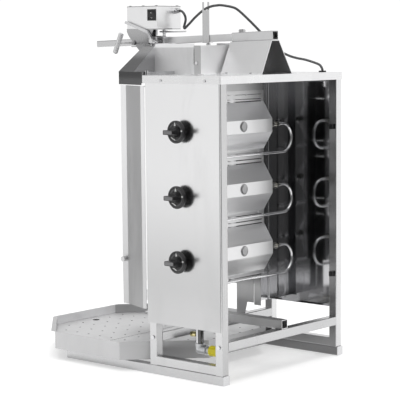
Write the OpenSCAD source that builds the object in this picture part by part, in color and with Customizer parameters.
// Gas vertical-spit grill with three burners, tilting wings, drip tray and a geared spit drive.
// Millimetres, +Z up. The origin is the centre of the footprint, on the ground:
// +X is the side with the control knobs, -Y is the side where the operator stands and
// the spit turns, +Y is the open rear where the gas comes in.

/* [Frame] */
// Side of the square skid and frame tube
tube = 25; // [24:0.5:26]
// Wall of the square tube
tube_wall = 1.5; // [1:0.25:2]
// Half the width over the outer faces of the posts
half_w = 263; // [261:0.5:266]
// Height of the top face of the lid
lid_top = 806; // [790:2:830]
// Depth over the front and rear posts
frame_d = 258; // [254:1:266]

/* [Burners] */
// Height of the lowest burner centre
burner_z = 316; // [306:1:320]
// Vertical distance between burners
burner_pitch = 172; // [160:1:173]
// Half the length of a burner housing
burner_half = 112; // [104:1:112]
// Outer diameter of the gas tubes
gas_d = 8; // [6:0.5:8]
// Bend radius of the loop in each gas tube
loop_r = 40; // [34:1:42]

/* [Controls] */
// Diameter of the knob skirt
knob_d = 60; // [50:1:62]
// How far a knob is pushed in to light the burner
push_travel = 4; // [2:0.5:5]

/* [Tray and wings] */
// Half the width of the eight-sided drip tray
tray_half = 298; // [286:1:300]
// Height of the tray rim above the ground
tray_rim = 80.5; // [70:0.5:82]
// Diameter of the drain holes in the drip plates
drain_d = 6; // [4:0.5:8]
// How far each wing leans inwards
wing_lean = 21; // [12:1:24]
// Width of the main panel of a wing
wing_w = 90; // [70:1:92]

/* [Spit] */
// Diameter of the spit
spit_d = 12; // [10:0.5:13]
// Diameter of the disc that carries the meat
disc_d = 180; // [120:2:200]
// Side of the square arm that slides in the sleeve
arm_side = 20; // [19:0.25:20]
// How far the free end of the arm droops
droop = 1.75; // [0.5:0.25:2]
// Diameter of the motor cable
cable_d = 7; // [6:0.5:8]

/* [Hidden] */
$fn = 48;

steel = [0.86, 0.87, 0.88];
bright = [0.93, 0.94, 0.95];
shade = [0.62, 0.63, 0.65];
dark = [0.12, 0.12, 0.13];

sheet = 1.2;
post_top = lid_top - 1.5;
burners = [burner_z, burner_z + burner_pitch, burner_z + 2 * burner_pitch];
rear_post = frame_d - tube;
spit_y = -214;
hood_top = lid_top + 76;
visor_top = lid_top + 9;
box_z = lid_top + 126;
pin_x = half_w - 11;
pin_y = -10;
wing_bot = 175;
wing_top = lid_top - 28;
stem_y = 120.5;
knob_reach = 52.2;
tray_mid = -208;
tray_reach = 300;
tray_corner = 125;
plate_z = 55;
rail_z = 87.5;
low_arm_z = rail_z + tube + 0.1;
sleeve_rear = 230;
sleeve_z = lid_top + 91;
// the frame's own middle plane and front face are moved so that the footprint is centred
shift = [-(half_w + knob_reach - tray_half) / 2, (tray_reach - tray_mid - (frame_d + 4.2)) / 2, 0];

module placed() { translate(shift) children(); }

// rounded rectangle, tube and rod helpers
module rsq(w, h, r) {
    square([w - 2 * r, h], center = true);
    square([w, h - 2 * r], center = true);
    for (a = [-1, 1], b = [-1, 1]) translate([a * (w / 2 - r), b * (h / 2 - r)]) circle(r);
}
module box_tube(l, w, h, t, r) {
    linear_extrude(l) difference() { rsq(w, h, r); rsq(w - 2 * t, h - 2 * t, max(r - t, 0.4)); }
}
// tube from p along an axis
module tube_z(x, y, z, l, s = tube) { translate([x, y, z]) box_tube(l, s, s, tube_wall, 2); }
module tube_y(x, y, z, l, s = tube) { translate([x, y + l, z]) rotate([90, 0, 0]) box_tube(l, s, s, tube_wall, 2); }
module tube_x(x, y, z, l, s = tube) { translate([x, y, z]) rotate([0, 90, 0]) box_tube(l, s, s, tube_wall, 2); }
module rod_x(x, y, z, l, d) { translate([x, y, z]) rotate([0, 90, 0]) cylinder(h = l, d = d); }
module rod_y(x, y, z, l, d) { translate([x, y + l, z]) rotate([90, 0, 0]) cylinder(h = l, d = d); }
module rod_z(x, y, z, l, d) { translate([x, y, z]) cylinder(h = l, d = d); }
module hex_x(x, y, z, l, d) { translate([x, y, z]) rotate([0, 90, 0]) cylinder(h = l, d = d, $fn = 6); }
module hex_y(x, y, z, l, d) { translate([x, y + l, z]) rotate([90, 0, 0]) cylinder(h = l, d = d, $fn = 6); }
module hex_z(x, y, z, l, d) { translate([x, y, z]) cylinder(h = l, d = d, $fn = 6); }
// box from its lower corner to its upper corner
module box(a, b) { translate(a) cube([b[0] - a[0], b[1] - a[1], b[2] - a[2]]); }
// profile in Y and Z, extruded along X from x0 to x1
module yz_prism(x0, x1) { translate([x0, 0, 0]) rotate([90, 0, 90]) linear_extrude(x1 - x0) children(); }
// profile in X and Z, extruded along Y from y0 to y1
module xz_prism(y0, y1) { translate([0, y1, 0]) rotate([90, 0, 0]) linear_extrude(y1 - y0) children(); }
module both() { children(); mirror([1, 0, 0]) children(); }
// pan head on a face that looks along +X
module pan_x(x, y, z, d, h, shank, l) {
    rod_x(x, y, z, h, d);
    rod_x(x - l, y, z, l, shank);
}
// the arm's own line: it leaves the sleeve's rear end and sinks towards the front
module arm_line() { translate([0, sleeve_rear, sleeve_z]) rotate([droop, 0, 0]) children(); }

// ---- frame ----
module skids() placed() color(steel)
    for (s = [-1, 1]) tube_y(s * (half_w - 11.5), -322, tube / 2, frame_d + 325);

module skid_end_caps() placed() color(bright)
    for (s = [-1, 1], e = [0, 1]) {
        x = s * (half_w - 11.5);
        y = e == 0 ? -323.2 : frame_d + 3;
        translate([x, y + 1.2, tube / 2]) rotate([90, 0, 0]) linear_extrude(1.2) rsq(tube, tube, 2);
        in = tube - 2 * tube_wall - 0.6;
        translate([x, e == 0 ? -310 : frame_d + 3, tube / 2]) rotate([90, 0, 0]) linear_extrude(12) rsq(in, in, 0.8);
    }

module side_frame_outer(g) {
    // g shrinks the section for the hollow
    z0 = tube + g; z1 = post_top - g;
    s = tube - 2 * g;
    for (y = [tube / 2, rear_post + tube / 2])
        translate([0, y, z0]) linear_extrude(z1 - z0) rsq(s, s, max(2 - g, 0.4));
    for (z = [1.5 * tube, post_top - tube / 2])
        translate([0, rear_post + tube / 2, z]) rotate([90, 0, 0]) linear_extrude(rear_post) rsq(s, s, max(2 - g, 0.4));
}
module side_frames() placed() color(steel)
    both() difference() {
        translate([half_w - tube / 2, 0, 0]) difference() { side_frame_outer(0); side_frame_outer(tube_wall); }
        for (y = [tube / 2, rear_post + tube / 2]) rod_x(half_w - tube - 1, y, rail_z + tube / 2, tube + 2, 6.2);
        for (y = [50.7, 204.7]) rod_x(half_w - 5, y, lid_top - 13, 10, 4.2);
    }

module cross_rails() placed() color(steel) {
    w = half_w - tube;
    for (y = [tube / 2, rear_post + tube / 2]) {
        tube_x(-w, y, rail_z + tube / 2, 2 * w);
        // threaded plugs in both ends of the rail
        for (s = [-1, 1]) difference() {
            translate([s > 0 ? w - 14 : -w, y, rail_z + tube / 2]) rotate([0, 90, 0])
                linear_extrude(14) rsq(tube - 2 * tube_wall, tube - 2 * tube_wall, 0.5);
            rod_x(s > 0 ? w - 15 : -w - 1, y, rail_z + tube / 2, 16, 6.2);
        }
    }
    for (y = [12.5, rear_post + tube / 2]) tube_x(-w, y, post_top - 10, 2 * w, 20);
}

module frame_screws() placed() color(bright) {
    both() {
        for (y = [tube / 2, rear_post + tube / 2]) {
            pan_x(half_w, y, rail_z + tube / 2, 11, 3, 6, tube + 12);
        }
        for (y = [50.7, 204.7]) pan_x(half_w + 1, y, lid_top - 13, 8, 2, 4, 5);
    }
    // screw of the strap at the corner of the hood
    pan_x(135.2, 66, lid_top + 31, 9, 2, 4, 6);
    mirror([1, 0, 0]) pan_x(135.2, 66, lid_top + 31, 9, 2, 4, 6);
    // screws of the sleeve bracket on the lid
    for (s = [-1, 1], y = [120, 205]) { rod_z(s * 76, y, lid_top + 2, 2.5, 9); rod_z(s * 76, y, lid_top - 4, 6, 4); }
}

// ---- cladding ----
module knob_panel() placed() color(bright) difference() {
    union() {
        box([half_w, -5, 140], [half_w + 1, frame_d - 5, lid_top - 21]);
        box([half_w - 23, -5, 140], [half_w + 1, -4, lid_top - 21]);
        // tab that holds the foot of the wing's pin
        box([pin_x - 8, -18, 166], [pin_x + 8, -4, 168]);
    }
    for (z = burners) rod_x(half_w - 1, stem_y, z, 3, 12);
    rod_z(pin_x, pin_y, 160, 12, 6.1);
}

module left_side_panel() placed() color(shade) mirror([1, 0, 0]) difference() {
    union() {
        box([half_w, -5, 137], [half_w + 1, frame_d - 5, lid_top - 21]);
        box([half_w - 23, -5, 137], [half_w + 1, -4, lid_top - 21]);
        box([half_w - 12, tube + 1, 137], [half_w, rear_post - 1, 138]);
        box([pin_x - 8, -18, 166], [pin_x + 8, -4, 168]);
    }
    rod_z(pin_x, pin_y, 160, 12, 6.1);
}

module inner_shields() placed() color(bright) both() {
    w = half_w - tube;
    box([w - 1, -5, 150], [w, 76, lid_top - 27]);
    box([w - 4, 75, 150], [w, 76, lid_top - 27]);
    box([w - 4, -5, 150], [w, -4, lid_top - 27]);
    // closing plates beside the burners, with a hem between them
    box([180, 61, 150], [half_w - 0.4, 62, lid_top - 27]);
    box([116, 58, 150], [180, 59, lid_top - 27]);
    rod_z(180, 60, 150, lid_top - 177, 5);
}

module lid() placed() color(bright) difference() {
    w = half_w + 1;
    union() {
        box([-w, -15, lid_top - 1.5], [w, frame_d + 1, lid_top]);
        for (s = [-1, 1]) box([s > 0 ? w - 1 : -w, -15, lid_top - 21], [s > 0 ? w : -w + 1, frame_d + 1, lid_top]);
        box([-w, frame_d, lid_top - 21], [w, frame_d + 1, lid_top]);
        box([-w, -15, lid_top - 21], [w, -14, lid_top]);
    }
    for (s = [-1, 1]) {
        // open seam between the side and rear skirts
        box([s > 0 ? w - 2 : -w - 1, frame_d - 1.3, lid_top - 22], [s > 0 ? w + 1 : -w + 2, frame_d, lid_top - 1.5]);
        rod_z(s * pin_x, pin_y, lid_top - 5, 10, 6.2);
        for (y = [50.7, 204.7]) rod_x(s * w - 3, y, lid_top - 13, 6, 4.2);
        for (y = [120, 205]) rod_z(s * 76, y, lid_top - 5, 10, 4.2);
    }
    rod_z(-227, 218.5, lid_top - 5, 10, 16);
}

module visor_plan(g) {
    polygon([[half_w + 1 - g, -15 - (g > 0 ? sheet : 0)], [218 - g, -146 + g], [-218 + g, -146 + g],
        [-half_w - 1 + g, -15 - (g > 0 ? sheet : 0)]]);
}
module visor() placed() color(shade) difference() {
    union() {
        difference() {
            translate([0, 0, lid_top - 26]) linear_extrude(35) visor_plan(0);
            translate([0, 0, lid_top - 30]) linear_extrude(39 - sheet) visor_plan(1.3);
        }
    }
    // opening for the hot gas, under the hood
    box([-126, -128, visor_top - 3], [126, -24, visor_top + 3]);
    // the rear wall stops above the wings
    box([-half_w - 5, -20, lid_top - 40], [half_w + 5, -10, lid_top - 21]);
}

module heat_hood() placed() color(shade) difference() {
    intersection() {
        xz_prism(-160, 0) polygon([[-229.1, lid_top], [-135, hood_top], [135, hood_top], [229.1, lid_top]]);
        yz_prism(-220, 220) polygon([[-146, visor_top], [-131, hood_top], [-88, hood_top],
            [-88, visor_top]]);
    }
    intersection() {
        xz_prism(-160, 0) polygon([[-237.1, lid_top - 8], [-125.6, hood_top + 6], [125.6, hood_top + 6], [237.1, lid_top - 8]]);
        yz_prism(-220, 220) polygon([[-146.6, visor_top - 8], [-128.4, hood_top + 6], [-89.2, hood_top + 6],
            [-89.2, visor_top - 8]]);
    }
    box([-134, -92, lid_top - 2], [134, 0, hood_top + 2]);
}

module hood_plates() placed() color(steel) {
    both() difference() {
        yz_prism(134 - sheet, 134) difference() {
            polygon([[-88, visor_top], [-15, visor_top], [-15, lid_top], [80, lid_top], [80, lid_top + 78], [58, lid_top + 78],
                [58, lid_top + 26], [54, lid_top + 26], [54, lid_top + 73], [-88, lid_top + 73]]);
        }
        rod_x(130, 66, lid_top + 31, 10, 4.2);
    }
    difference() {
        union() {
            box([-135.2, 80, lid_top], [135.2, 81.2, lid_top + 78]);
            // upper edge of the side plates, folded inwards
            for (s = [0, 1]) mirror([s, 0, 0]) xz_prism(-88, 54)
                polygon([[134 - sheet, lid_top + 72], [134, lid_top + 72.5], [130.5, lid_top + 83], [129.3, lid_top + 82.7]]);
            // feet of the plates on the lid
            box([-135.2, 81, lid_top], [135.2, 91, lid_top + 1.2]);
            for (s = [-1, 1]) box([s > 0 ? 134 : -148, 20, lid_top], [s > 0 ? 148 : -134, 81.2, lid_top + 1.2]);
            for (s = [-1, 1]) box([s > 0 ? 134 : -135.2, 58, lid_top + 9], [s > 0 ? 135.2 : -134, 81.2, lid_top + 78]);
        }
        for (s = [-1, 1]) rod_x(s * 134 - 5, 66, lid_top + 31, 10, 4.2);
    }
}

// ---- arm carrier on the lid ----
module bracket_solid(g) {
    intersection() {
        xz_prism(60, 260) polygon([[-66.5 + g, lid_top - (g > 0 ? 1 : 0)], [-16.25 + g * 0.8, sleeve_z - g], [16.25 - g * 0.8, sleeve_z - g], [66.5 - g, lid_top - (g > 0 ? 1 : 0)]]);
        yz_prism(-70, 70) polygon([[92 - (g > 0 ? 20 : 0), lid_top - (g > 0 ? 1 : 0)], [235 + (g > 0 ? 20 : 0), lid_top - (g > 0 ? 1 : 0)],
            [sleeve_rear + (g > 0 ? 20 : 0), sleeve_z - g * 1.1 + (g > 0 ? 20 * tan(droop) : 0)],
            [88 - (g > 0 ? 20 : 0), sleeve_z - g * 1.1 - (sleeve_rear - 88 + (g > 0 ? 20 : 0)) * tan(droop)]]);
    }
}
module sleeve_bracket() placed() color(steel) difference() {
    union() {
        difference() { bracket_solid(0); bracket_solid(2); }
        // closed front end; the rear end is open
        intersection() {
            bracket_solid(0);
            xz_prism(80, 94) square([200, 2000], center = true);
        }
        for (s = [-1, 1]) box([s > 0 ? 64.5 : -84, 92, lid_top], [s > 0 ? 84 : -64.5, 235, lid_top + 2]);
    }
    for (s = [-1, 1], y = [120, 205]) rod_z(s * 76, y, lid_top - 5, 10, 4.2);
}

module arm_sleeve() placed() color(steel) arm_line() difference() {
    translate([0, 0, 12.5]) rotate([90, 0, 0]) box_tube(142, 25, 25, 2, 2);
    rod_z(0, -115, 20, 10, 8.2);
}

module sleeve_bolt() placed() color(bright) arm_line() {
    rod_z(0, -115, 22.9, 2.4, 8);
    hex_z(0, -115, 25.3, 7, 19);
    rod_z(0, -115, 32.3, 1.2, 15);
}

module upper_arm() placed() color(steel) {
    difference() {
        arm_line() translate([0, -15, 12.5]) rotate([90, 0, 0]) box_tube(378, arm_side, arm_side, tube_wall, 1.5);
        box([-12, -176, sleeve_z - 12], [12, -150, sleeve_z + 14]);
        rod_z(2.5, -6, lid_top + 80, 9.6, 5.1);
    }
    // cross tube at the front end
    difference() {
        union() {
            translate([-30, -162, lid_top + 93]) rotate([0, 90, 0]) linear_extrude(60) difference() {
                rsq(20, 26, 1.5);
                rsq(17, 23, 0.5);
            }
            box([-2, -174, lid_top + 84.6], [16, -150, lid_top + 101.4]);
            // tab of the adjusting rod
            box([-5, -175, lid_top + 102], [5, -172.5, lid_top + 123.5]);
        }
        rod_x(-5, -169, lid_top + 91, 40, 6.1);
        rod_y(0, -180, lid_top + 117, 10, 5.2);
    }
}

module cable_post() placed() color(steel) difference() {
    union() {
        yz_prism(10, 12) difference() {
            translate([-19, lid_top + 84.3]) square([24.6, 113.3]);
            // fork that the cable lies in, crossing it slantwise
            translate([-13.2, lid_top + 174.6]) square([13, 40]);
        }
        // foot under the arm
        box([-9, -14, lid_top + 84.3], [11, 2, lid_top + 85.8]);
    }
    rod_z(2.5, -6, lid_top + 80, 10, 5.1);
}

module arm_fasteners() placed() color(bright) {
    // pivot bolt of the lock lever
    rod_x(-2, -169, lid_top + 91, 62.2, 6);
    rod_x(60.2, -169, lid_top + 91, 3, 12);
    // wing screw of the cable post
    rod_z(2.5, -6, lid_top + 79.5, 10.5, 5);
    rod_z(2.5, -6, lid_top + 79.5, 4.8, 9);
    box([-6, -7.2, lid_top + 78], [11, -4.8, lid_top + 82.2]);
    // screws of the motor box cover
    for (x = [-44, 44], y = [-264, -213.5, -163]) { rod_z(x, y, box_z + 64, 2, 8); rod_z(x, y, box_z + 58, 6, 3.5); }
    // adjusting rod through the tab on the bracket
    rod_y(0, -190, lid_top + 117, 99, 5);
    hex_y(0, -179.4, lid_top + 117, 4, 9);
}

module pull_handle() placed() color(shade) difference() {
    union() {
        arm_line() translate([0, -467, 12.5]) rotate([90, 0, 0]) box_tube(109, 20, 20, tube_wall, 1.5);
        arm_line() translate([0, -560, 12.5]) rotate([90, 0, 0]) linear_extrude(106) rsq(16.9, 16.9, 1);
        arm_line() translate([0, -576, 12.5]) rotate([90, 0, 0]) linear_extrude(90) rsq(18.5, 18.5, 3);
    }
}

bracket_prof = [[-274, box_z], [-273.4, box_z - 8], [-268.2, box_z - 18], [-261.7, box_z - 26], [-254, box_z - 33], [-229, box_z - 59],
    [-222, box_z - 63], [-212, box_z - 65], [-205, box_z - 64], [-182, box_z - 30], [-170, box_z]];
module motor_bracket() placed() color(steel) difference() {
    union() {
        yz_prism(48, 50) polygon(bracket_prof);
        // narrow flange on the far side
        intersection() {
            yz_prism(-50, -48) polygon(bracket_prof);
            box([-60, -280, box_z - 80], [0, -246, box_z + 1]);
        }
        box([-50, -273.6, box_z - 8], [50, -272, box_z]);
        box([-50, -274, box_z - 2.5], [50, -155, box_z]);
        // cap on the end of the cross tube and the web up to the top plate
        box([19, -176, lid_top + 103], [33, -149, lid_top + 105.5]);
        box([30, -197, lid_top + 103], [33, -176, box_z - 2]);
        box([30, -190, lid_top + 103], [33, -170, lid_top + 105.5]);
        box([30, -197, lid_top + 103], [49, -195, box_z - 2]);
        // cross member that the pull handle goes through
        box([-48.5, -258, lid_top + 74], [48.5, -236, lid_top + 76.4]);
        box([-48.5, -258, lid_top + 97.6], [48.5, -236, lid_top + 101]);
        box([-14.5, -258, lid_top + 76], [-10, -236, lid_top + 98]);
        box([10, -258, lid_top + 76], [14.5, -236, lid_top + 98]);
        rod_x(44, -246, lid_top + 86, 10, 14);
    }
    arm_line() translate([0, -440, 12.5]) rotate([90, 0, 0]) linear_extrude(72) rsq(20.1, 20.1, 1.5);
    rod_z(0, spit_y, box_z - 10, 20, 26);
    // room for the wing nut to turn
    box([-14, -177, box_z - 4], [14, -150, box_z + 1]);
    rod_x(9, -246, lid_top + 86, 60, 6.1);
}

module motor_box() placed() color(bright) difference() {
    box([-50, -272, box_z], [50, -155, box_z + 62]);
    box([-48.8, -270.8, box_z + 1.2], [48.8, -156.2, box_z + 70]);
    rod_z(0, spit_y, box_z - 2, 6, 26);
    // switch and cable holes
    box([48, -189, box_z + 24.5], [52, -162, box_z + 52.5]);
    rod_y(-26, -158, box_z + 50, 6, 12.2);
}

module motor_box_cover() placed() color(bright) difference() {
    union() {
        box([-50, -272, box_z + 62], [50, -155, box_z + 64]);
        for (s = [-1, 1]) box([s > 0 ? 47.4 : -48.6, -270.4, box_z + 50], [s > 0 ? 48.6 : -47.4, -196, box_z + 63]);
        // screw bosses under the cover
        for (x = [-44, 44], y = [-264, -213.5, -163]) rod_z(x, y, box_z + 57, 6, 7);
    }
    for (x = [-44, 44], y = [-264, -213.5, -163]) rod_z(x, y, box_z + 50, 20, 3.6);
}

module gear_motor() placed() color(shade) difference() {
    union() {
        // gear case, motor can and the neck through the floor
        box([-36, -252, box_z + 1.2], [36, -180, box_z + 24]);
        rod_z(0, spit_y, box_z + 24, 30, 56);
        rod_z(0, spit_y, box_z - 17, 20, 22);
        rod_z(0, spit_y, box_z + 54, 4, 20);
    }
    rod_z(0, spit_y, box_z - 20, 32, 14.1);
}

module drive_coupling() placed() color(bright) difference() {
    union() {
        rod_z(0, spit_y, lid_top + 62, 46.4, 22);
        rod_z(0, spit_y, lid_top + 108, 28, 14);
        // cross screw that locks the spit
        rod_x(-14, spit_y, lid_top + 72, 28, 6);
    }
    rod_z(0, spit_y, lid_top + 50, 44, spit_d + 0.1);
}

module switch_bezel() placed() color(dark) difference() {
    union() {
        box([50, -191, box_z + 22.5], [52, -160, box_z + 54.5]);
        box([40, -188.8, box_z + 24.7], [50, -162.2, box_z + 52.3]);
    }
    box([43, -187, box_z + 27], [53, -164, box_z + 50]);
    rod_y(47, -188.4, box_z + 38.5, 25.8, 3.1);
}

module switch_rocker() placed() color(dark) {
    // two-winged rocker on a pin across the opening
    rod_y(47, -188.2, box_z + 38.5, 25.4, 3);
    yz_rocker();
}
module yz_rocker() {
    translate([0, -164.6, 0]) rotate([90, 0, 0]) linear_extrude(21.8)
        polygon([[45.8, box_z + 37], [46.5, box_z + 28.2], [50.5, box_z + 27.6], [52.2, box_z + 38.5],
            [53.4, box_z + 48.2], [49.6, box_z + 49.1], [45.8, box_z + 40]]);
}

module cable_gland() placed() color(bright) difference() {
    union() {
        rod_y(-26, -165, box_z + 50, 20, 12);
        hex_y(-26, -155, box_z + 50, 5, 19);
        rod_y(-26, -150, box_z + 50, 4, 15);
        hex_y(-26, -146, box_z + 50, 6, 17);
        rod_y(-26, -140, box_z + 50, 4, 12);
        hex_y(-26, -161, box_z + 50, 4, 19);
    }
    rod_y(-26, -170, box_z + 50, 40, cable_d);
}

// ---- motor cable: the route's points, then a swept tube ----
cable_pts = [[-26, -165, 982], [-26, -150, 982], [-26, -136, 982], [-27, -129, 980], [-28, -123, 974], [-29, -119, 966],
    [-30, -118, 957], [-30, -120, 949], [-30, -123, 941], [-29, -124, 935], [-27, -119, 932], [-24, -112, 935],
    [-21, -102, 940], [-18, -92, 946], [-14, -80, 953.5], [-10, -66, 961], [-7, -52, 969], [-5, -40, 975.5],
    [-2, -27, 981], [4, -13.7, 984.5], [11, -6.7, 985], [18, 0.3, 985.5], [23, 8, 986.5], [26, 18, 988.5],
    [27, 30, 991], [25, 44, 992.5], [20, 58, 993], [13, 72, 991.5], [5, 86, 987], [-5, 100, 977], [-14, 112, 963.5],
    [-22, 123, 950], [-29, 134, 937], [-36, 144, 924], [-44, 151, 911], [-54, 153, 899], [-67, 151, 888],
    [-84, 148, 879], [-106, 145, 870], [-130, 143, 863], [-156, 143, 857], [-178, 146, 850], [-196, 157.5, 844.5],
    [-211, 174, 840], [-220, 192, 835], [-225, 205, 828.5], [-227, 214.5, 820.5], [-227, 218.5, 812], [-227, 218.5, 804], [-227, 218.5, 797]];
function unit(v) = v / norm(v);
cn = len(cable_pts);
function dir_at(i) = unit(cable_pts[min(i + 1, cn - 1)] - cable_pts[max(i - 1, 0)]);
// a frame carried along the route
function side_at(i, s) = unit(s - (s * dir_at(i)) * dir_at(i));
function frames(i = 0, s = [0, 0, 1]) = i >= cn ? [] :
    let (n = side_at(i, s)) concat([[n, cross(dir_at(i), n)]], frames(i + 1, n));
module motor_cable() placed() color(dark) {
    fr = frames();
    m = 8;
    r = cable_d / 2;
    up = [0, 0, lid_top - 806];
    pts = [for (i = [0 : cn - 1], k = [0 : m - 1]) cable_pts[i] + up + r * (cos(360 * k / m) * fr[i][0] + sin(360 * k / m) * fr[i][1])];
    fcs = concat([[for (k = [0 : m - 1]) k]], [[for (k = [m - 1 : -1 : 0]) (cn - 1) * m + k]],
        [for (i = [0 : cn - 2], k = [0 : m - 1]) [i * m + k, (i + 1) * m + k, (i + 1) * m + (k + 1) % m, i * m + (k + 1) % m]]);
    polyhedron(pts, fcs);
}

module lid_grommet() placed() color(dark) difference() {
    union() {
        rod_z(-227, 218.5, lid_top - 4, 8, 16);
        rod_z(-227, 218.5, lid_top, 4, 21);
        rod_z(-227, 218.5, lid_top - 5.5, 4, 21);
    }
    rod_z(-227, 218.5, lid_top - 20, 40, cable_d);
}

lever_line = [[-169, 91], [-176, 103], [-190, 118], [-230, 131.5], [-272, 145]];
// outline of a bar of even width along a line of points, with mitred bends
function left_of(a, b) = let (d = (b - a) / norm(b - a)) [-d[1], d[0]];
function mitre(p, i) = let (n = len(p) - 1)
    i == 0 ? left_of(p[0], p[1]) : i == n ? left_of(p[n - 1], p[n]) :
    let (s = left_of(p[i - 1], p[i]) + left_of(p[i], p[i + 1])) 2 * s / (s * s);
module bent_bar(p, w) {
    n = len(p) - 1;
    polygon(concat([for (i = [0 : n]) p[i] + w / 2 * mitre(p, i)], [for (i = [n : -1 : 0]) p[i] - w / 2 * mitre(p, i)]));
}
module lock_lever() placed() color(bright) difference() {
    translate([0, 0, lid_top]) union() {
        yz_prism(52, 60) bent_bar(lever_line, 7);
        rod_x(52, -169, 91, 8, 13);
    }
    rod_x(50, -169, lid_top + 91, 12, 6.1);
}

module tee_screw() placed() color(bright) {
    rod_x(10.3, -246, lid_top + 86, 103, 6);
    translate([114.5, -246, lid_top + 86]) rotate([-25, 0, 0]) translate([0, 0, -31]) {
        cylinder(h = 62, d = 12);
        translate([0, 0, 1.5]) cylinder(h = 59, d = 14.5);
    }
}

module wing_nut() placed() color(bright) difference() {
    union() {
        rod_y(0, -172.2, lid_top + 117, 6, 9);
        for (s = [-1, 1]) hull() {
            rod_y(s * 3, -170, lid_top + 117, 2, 3);
            rod_y(s * 6.1, -168.5, lid_top + 118.4, 2, 4.4);
        }
    }
    rod_y(0, -175, lid_top + 117, 13, 5.1);
}

// ---- spit ----
module spit() placed() color(bright)
    rod_z(0, spit_y, low_arm_z + 10, lid_top + 92 - low_arm_z - 10, spit_d);

module meat_disc() placed() color(bright) difference() {
    union() {
        rod_z(0, spit_y, low_arm_z + tube + 20, 3, disc_d);
        rod_z(0, spit_y, low_arm_z + tube + 20, 12, 26);
        rod_z(0, spit_y, low_arm_z + tube + 14, 7, 22);
        for (a = [0 : 60 : 300]) translate([cos(a) * disc_d * 0.33, spit_y + sin(a) * disc_d * 0.33, low_arm_z + tube + 23]) {
            cylinder(h = 30, d = 4);
            translate([0, 0, 30]) cylinder(h = 8, d1 = 4, d2 = 0.6);
        }
    }
    rod_z(0, spit_y, low_arm_z, 60, spit_d + 0.1);
}

module lower_arm() placed() color(steel) difference() {
    tube_y(0, -236, low_arm_z + tube / 2, 494);
    rod_z(0, spit_y, low_arm_z + tube - 4, 8, 22);
}

module lower_bearing() placed() color(shade) difference() {
    union() {
        rod_z(0, spit_y, low_arm_z + 1.5, tube + 4.5, 21.9);
        rod_z(0, spit_y, low_arm_z + tube, 8, 34);
    }
    // the spit's foot can rise and sink a little in its bore as the arms slide
    rod_z(0, spit_y, low_arm_z + 5, 40, spit_d + 0.18);
}

module arm_saddle() placed() color(steel) {
    z = rail_z + tube;
    difference() {
        box([-16, 2, z], [16, 23, z + tube + 4]);
        box([-13, 0, z - 1], [13, 30, z + tube + 1]);
    }
    for (s = [-1, 1]) box([s > 0 ? 13 : -28, 2, z], [s > 0 ? 28 : -13, 23, z + 2.5]);
    for (s = [-1, 1]) rod_z(s * 22, 12.5, z + 2.5, 2.5, 8);
}

// ---- drip tray ----
module octagon(g) {
    h = tray_half - g; r = tray_reach - g; c = tray_corner - 0.414 * g;
    polygon([[-c, -r], [c, -r], [h, -r + (tray_half - tray_corner)], [h, r - (tray_half - tray_corner)], [c, r], [-c, r],
        [-h, r - (tray_half - tray_corner)], [-h, -r + (tray_half - tray_corner)]]);
}
module drip_tray() placed() color(steel) {
    translate([0, tray_mid, 0]) {
        difference() {
            translate([0, 0, 31]) linear_extrude(tray_rim - 31) octagon(0);
            translate([0, 0, 32.2]) linear_extrude(60) octagon(1.3);
        }
        // ledge that the drip plates lie on
        difference() {
            translate([0, 0, plate_z - 13.2]) linear_extrude(12) octagon(1);
            translate([0, 0, plate_z - 14.4]) linear_extrude(12) octagon(2.4);
            translate([0, 0, plate_z - 20]) linear_extrude(40) octagon(14);
        }
        // narrow lips folded out over the two front corners
        for (s = [0, 1]) mirror([s, 0, 0]) translate([0, 0, tray_rim - 1.2]) linear_extrude(1.2)
            polygon([[tray_corner, -tray_reach], [tray_corner + 15.6, -tray_reach],
                [tray_half, -tray_reach + tray_half - tray_corner - 15.6], [tray_half, -tray_reach + tray_half - tray_corner],
                [tray_half - 0.8, -tray_reach + tray_half - tray_corner], [tray_corner, -tray_reach + 0.8]]);
        // runners that slide on the skids
        for (s = [-1, 1]) box([s * (half_w - 11.5) - 6, -110, 25], [s * (half_w - 11.5) + 6, 110, 31]);
    }
}
row_y = [-420, -373, -327, -281, -235, -182, -135, -89, -43, 4, 50];
function hole_ok(x, y) = abs(x) + abs(y - tray_mid) < 385;
module drip_plate(y0, y1, rows) {
    difference() {
        intersection() {
            translate([0, tray_mid, plate_z - 1.2]) linear_extrude(1.2) octagon(2);
            box([-400, y0, 0], [400, y1, 100]);
        }
        for (y = rows, i = [-4 : 4]) let (x = i * 57.5)
            if (hole_ok(x, y)) rod_z(x, y, plate_z - 5, 10, drain_d);
        children();
    }
}
module front_drip_plate() placed() color(steel)
    drip_plate(-520, -209, [-420, -373, -327, -281, -235]) {
        rod_z(0, -468, plate_z - 5, 10, 21);
        for (x = [-115, -57.5, 57.5, 115]) rod_z(x, -466, plate_z - 5, 10, drain_d);
    }
module rear_drip_plate() placed() color(steel)
    drip_plate(-207, 100, [-182, -135, -89, -43, 4, 50]) {}

// ---- burners ----
module housing_profile() {
    polygon([[70, -60], [97, -60], [97, -66], [98.5, -66], [129.5, -18], [129.5, 18], [98.5, 66], [97, 66], [97, 60], [70, 60]]);
}
module housing_hollow() {
    polygon([[60, -58.8], [101.7, -58.8], [128.3, -17.66], [128.3, 17.66], [101.7, 58.8], [60, 58.8]]);
}
module burner_housings() placed() color(steel)
    for (z = burners) translate([0, 0, z]) {
        difference() {
            union() {
                yz_prism(-burner_half, burner_half) housing_profile();
                rod_y(14.2, 129, 1, 1.4, 28);
            }
            yz_prism(-burner_half + 1.2, burner_half - 1.2) housing_hollow();
            rod_x(-burner_half - 3, 121.5, 1, 8, 12);
        }
    }

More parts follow.
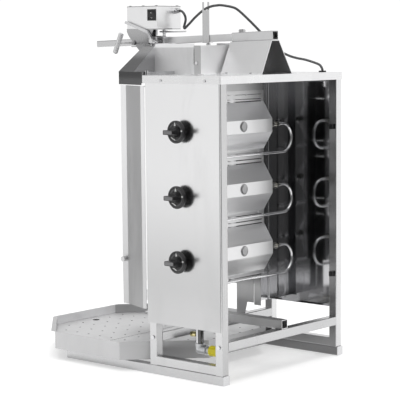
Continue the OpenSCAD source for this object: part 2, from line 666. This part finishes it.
module ceramic_plaques() placed() color([0.9, 0.86, 0.78])
    for (z = burners) difference() {
        box([-burner_half + 1.2, 72, z - 58.8], [burner_half - 1.2, 84, z + 58.8]);
        // joints between the tiles
        for (x = [-burner_half / 3, burner_half / 3]) box([x - 0.5, 71, z - 60], [x + 0.5, 74, z + 60]);
    }

module burner_grilles() placed() color(shade)
    for (z = burners) {
        difference() {
            box([-burner_half, 62, z - 60], [burner_half, 70, z + 60]);
            box([-burner_half + 2, 60, z - 58], [burner_half - 2, 72, z + 58]);
        }
        for (k = [-5 : 5]) rod_x(-burner_half + 1, 65, z + k * 10, 2 * burner_half - 2, 2);
    }

module burner_fittings() placed() color([0.85, 0.8, 0.62])
    for (z = burners) {
        difference() {
            union() {
                rod_x(-burner_half - 38, 121.5, z + 1, 38, 13);
                hex_x(-burner_half - 30, 121.5, z + 1, 9, 20);
                hex_x(-burner_half - 8, 121.5, z + 1, 8, 18);
                rod_x(-burner_half, 121.5, z + 1, 16, 12);
            }
            rod_x(-burner_half - 40, 121.5, z + 1, 20, gas_d);
            rod_x(-burner_half - 21, 121.5, z + 1, 40, 3);
        }
    }

module burner_rack() placed() color(steel) {
    top = lid_top - 21.5;
    difference() {
        union() {
            for (s = [-1, 1]) yz_prism(s > 0 ? burner_half + 1 : -burner_half - 2.5, s > 0 ? burner_half + 2.5 : -burner_half - 1)
                polygon([[-5, rail_z + tube], [25, rail_z + tube], [34, rail_z + tube + 36], [58, rail_z + tube + 36],
                    [58, top], [-5, top]]);
            // flanges that hold the housings
            for (s = [-1, 1], z = burners)
                box([s > 0 ? burner_half + 1 : -burner_half - 2.5, 57, z - 62], [s > 0 ? burner_half + 2.5 : -burner_half - 1, 96.6, z + 62]);
            // strips between and beside the burners
            box([-burner_half - 2, 86, burner_z - 77], [burner_half + 2, 96.6, burner_z - 60.4]);
            for (i = [0 : 1]) box([-burner_half - 2, 88, burners[i] + 60.4], [burner_half + 2, 96.6, burners[i + 1] - 60.4]);
            box([-burner_half - 2, 88, burners[2] + 60.4], [burner_half + 2, 96.6, burners[2] + 98]);
            box([-burner_half - 2, 92, burners[2] + 90], [burner_half + 2, 93.2, top - 1]);
            // top deflector and feet on the lower front rail
            box([-burner_half - 2, -5, top - 1.5], [burner_half + 2, 96.6, top]);
            for (s = [-1, 1]) box([s > 0 ? burner_half - 12 : -burner_half - 2.5, 0, rail_z + tube], [s > 0 ? burner_half + 2.5 : -burner_half + 12, 24, rail_z + tube + 1.5]);
        }
        // lightened strips: they are folded from sheet
        for (i = [0 : 1]) box([-burner_half + 2, 80, burners[i] + 63], [burner_half - 2, 95.4, burners[i + 1] - 63]);
        box([-burner_half + 2, 80, burners[2] + 63], [burner_half - 2, 95.4, burners[2] + 96.8]);
        // slots between the folded strips
        for (i = [0 : 1], g = [[66, 3], [76, 3], [92.5, 2.5]])
            box([-burner_half + 5, 94, burners[i] + g[0]], [burner_half - 5, 98, burners[i] + g[0] + g[1]]);
        for (g = [[66, 3], [73, 2], [86, 1.5]])
            box([-burner_half + 5, 94, burners[2] + g[0]], [burner_half - 5, 98, burners[2] + g[0] + g[1]]);
    }
    // rear legs
    for (s = [-1, 1]) box([s > 0 ? burner_half + 1 : -burner_half - 2.5, 60, rail_z + tube + 30], [s > 0 ? burner_half + 2.5 : -burner_half - 1, 84, burner_z - 60]);
    // screws of the strips
    for (x = [-92, 92], z = [burners[0] + 86, burners[0] + 100.5, burners[1] + 86, burners[1] + 100.5, burners[2] + 80])
        rod_y(x, 96.6, z, 2, 7);
    rod_y(-38, 96.6, burners[2] + 84, 1.6, 6);
}

module gas_tubes() placed() color(bright)
    for (z = burners) translate([0, 121.5, z]) {
        x0 = -burner_half - 58;
        // from the burner's end to the loop
        rod_x(x0, 0, 1, 38, gas_d);
        translate([x0, 0, 1 - loop_r]) rotate([90, -90, 0]) rotate_extrude(angle = 180) translate([loop_r, 0]) circle(d = gas_d);
        rod_x(x0, 0, 1 - 2 * loop_r, half_w - 24 - 24 - x0, gas_d);
        translate([half_w - 48, 0, 1 - 2 * loop_r + 24]) rotate([90, 0, 0]) rotate([0, 0, -90]) rotate_extrude(angle = 90) translate([24, 0]) circle(d = gas_d);
        rod_z(half_w - 24, 0, 25 - 2 * loop_r, 2 * loop_r - 25 - 20, gas_d);
    }

module gas_valves() placed() color([0.8, 0.76, 0.6]) {
    // pressure test nipple low on the manifold
    difference() {
        union() {
            rod_y(half_w - 49, 116, 114, 10.2, 13);
            hex_y(half_w - 49, 108, 114, 8.4, 15);
        }
        rod_z(half_w - 49, 137, 100, 30, 21.5);
    }
    for (z = burners) difference() {
        union() {
            box([half_w - 37, 113, z - 14], [half_w - 11, 152, z + 14]);
            rod_x(half_w - 11, stem_y, z, 11, 18);
            rod_x(half_w - 50, 137, z, 14, 15);
            hex_z(half_w - 24, 121.5, z - 24, 10, 16);
        }
        rod_x(half_w - 33, stem_y, z, 40, 8.1);
        rod_z(half_w - 49, 137, z - 30, 60, 21.3);
        rod_z(half_w - 24, 121.5, z - 30, 10, gas_d);
    }
}

module gas_manifold() placed() color(bright) difference() {
    union() {
        rod_z(half_w - 49, 137, 92, burners[2] + 30 - 92, 21.3);
        hex_z(half_w - 49, 137, burners[2] + 30, 8, 24);
    }
    rod_z(half_w - 49, 137, 91, burners[2] + 26 - 91, 16);
}

module inlet_pipe() placed() color([0.78, 0.79, 0.8]) difference() {
    x = half_w - 49;
    union() {
        // elbow below the manifold, then a short threaded pipe to the rear
        rod_z(x, 137, 76, 16, 25);
        rod_z(x, 137, 86, 6, 27.5);
        translate([x, 137, 76]) sphere(d = 25);
        rod_y(x, 137, 76, 27, 25);
        rod_y(x, 159, 76, 6, 27.5);
        rod_y(x, 160, 76, 16.6, 21.3);
    }
    rod_y(x, 137, 76, 50, 16);
    rod_z(x, 137, 76, 30, 16);
}

module inlet_cap() placed() color([0.9, 0.85, 0.1]) difference() {
    x = half_w - 49;
    union() {
        rod_y(x, 176.7, 76, 22, 27);
        for (a = [0 : 30 : 330]) translate([x + 13.2 * cos(a), 176.7, 76 + 13.2 * sin(a)]) rotate([-90, 0, 0]) cylinder(h = 20, d = 2.4);
        rod_y(x, 168, 76, 9, 15.9);
    }
    rod_y(x, 160, 76, 31, 12);
}

// ---- controls ----
module stem(z) {
    rod_x(half_w - 27, stem_y, z, 61, 8);
}
module knob(z) {
    near = push_travel + 2;
    translate([half_w, stem_y, z]) difference() {
        union() {
            translate([near, 0, 0]) rotate([0, 90, 0]) cylinder(h = 12, d = 24);
            // flat skirt with a turned edge
            translate([16, 0, 0]) rotate([0, 90, 0]) cylinder(h = 4.2, d = knob_d);
            translate([15.2, 0, 0]) rotate([0, 90, 0]) cylinder(h = 2, d = knob_d - 6);
            translate([20.2, 0, 0]) rotate([0, 90, 0]) cylinder(h = 0.8, d1 = knob_d - 2, d2 = knob_d - 5);
            translate([20, 0, 0]) rotate([0, 90, 0]) cylinder(h = 16, d1 = 29, d2 = 26);
            translate([20, 0, 0]) rotate([0, 90, 0]) linear_extrude(knob_reach - 20) rsq(12, 32.5, 2.5);
        }
        rotate([0, 90, 0]) translate([0, 0, near - 1]) cylinder(h = 34.3 - near + 1, d = 8.1);
        // dished face round the hub
        translate([20.2, 0, 0]) rotate([0, 90, 0]) difference() { cylinder(h = 3, d = knob_d - 9); translate([0, 0, -1]) cylinder(h = 5, d = knob_d - 12); }
    }
}
module stem_top() placed() color(bright) stem(burners[2]);
module stem_middle() placed() color(bright) stem(burners[1]);
module stem_bottom() placed() color(bright) stem(burners[0]);
module knob_top() placed() color(dark) knob(burners[2]);
module knob_middle() placed() color(dark) knob(burners[1]);
module knob_bottom() placed() color(dark) knob(burners[0]);

// ---- wings ----
module wing() {
    x0 = half_w - 1;
    ex = x0 - wing_w * sin(wing_lean);
    ey = -24.5 - wing_w * cos(wing_lean);
    difference() {
        union() {
            box([x0 - 1, -24.5, wing_bot], [x0, pin_y - 1, wing_top]);
            translate([x0, -24.5, wing_bot]) rotate([0, 0, -90 - wing_lean]) translate([0, -1, 0]) cube([wing_w, 1, wing_top - wing_bot]);
            box([ex - 1, ey - 20.3, wing_bot], [ex, ey + 0.4, wing_top]);
            box([ex - 7, ey - 20.3, wing_bot], [ex, ey - 19.3, wing_top]);
            // hinge tabs
            for (z = [wing_bot, wing_top - 2]) {
                box([pin_x, pin_y - 8, z], [x0 - 0.5, pin_y - 1, z + 2]);
                box([pin_x - 1, pin_y - 10, z], [x0 - 0.5, pin_y - 1.5, z + 2]);
                rod_z(pin_x, pin_y, z, 2, 9);
            }
        }
        for (z = [wing_bot, wing_top - 2]) rod_z(pin_x, pin_y, z - 2, 6, 6.1);
    }
    // round knob on the front edge
    rod_x(ex, ey - 10, 300, 4, 6);
    translate([ex + 4, ey - 10, 300]) rotate([0, 90, 0]) cylinder(h = 8, d = 14);
}
module wing_right() placed() color(shade) wing();
module wing_left() placed() color(shade) mirror([1, 0, 0]) wing();

module wing_hinge_pins() placed() color(bright) both() {
    rod_z(pin_x, pin_y, wing_top - 5, lid_top - wing_top + 5, 6);
    rod_z(pin_x, pin_y, lid_top, 13, 8);
    rod_z(pin_x, pin_y, 163, 16, 6);
    rod_z(pin_x, pin_y, 160, 6, 10);
}

module rear_clips() placed() color(dark)
    for (z = [235, 653]) {
        box([-half_w + tube, rear_post + 6, z - 7], [-half_w + tube + 9, rear_post + 18, z + 7]);
        rod_x(-half_w + tube + 9, rear_post + 12, z, 2, 8);
    }

skids();
skid_end_caps();
side_frames();
cross_rails();
frame_screws();
knob_panel();
left_side_panel();
inner_shields();
lid();
visor();
heat_hood();
hood_plates();
sleeve_bracket();
arm_sleeve();
sleeve_bolt();
upper_arm();
cable_post();
arm_fasteners();
pull_handle();
motor_bracket();
motor_box();
motor_box_cover();
gear_motor();
drive_coupling();
switch_bezel();
switch_rocker();
cable_gland();
motor_cable();
lid_grommet();
lock_lever();
tee_screw();
wing_nut();
spit();
meat_disc();
lower_arm();
lower_bearing();
arm_saddle();
drip_tray();
front_drip_plate();
rear_drip_plate();
burner_rack();
burner_housings();
ceramic_plaques();
burner_grilles();
burner_fittings();
gas_tubes();
gas_valves();
gas_manifold();
inlet_pipe();
inlet_cap();
knob_top();
knob_middle();
knob_bottom();
stem_top();
stem_middle();
stem_bottom();
wing_right();
wing_left();
wing_hinge_pins();
rear_clips();
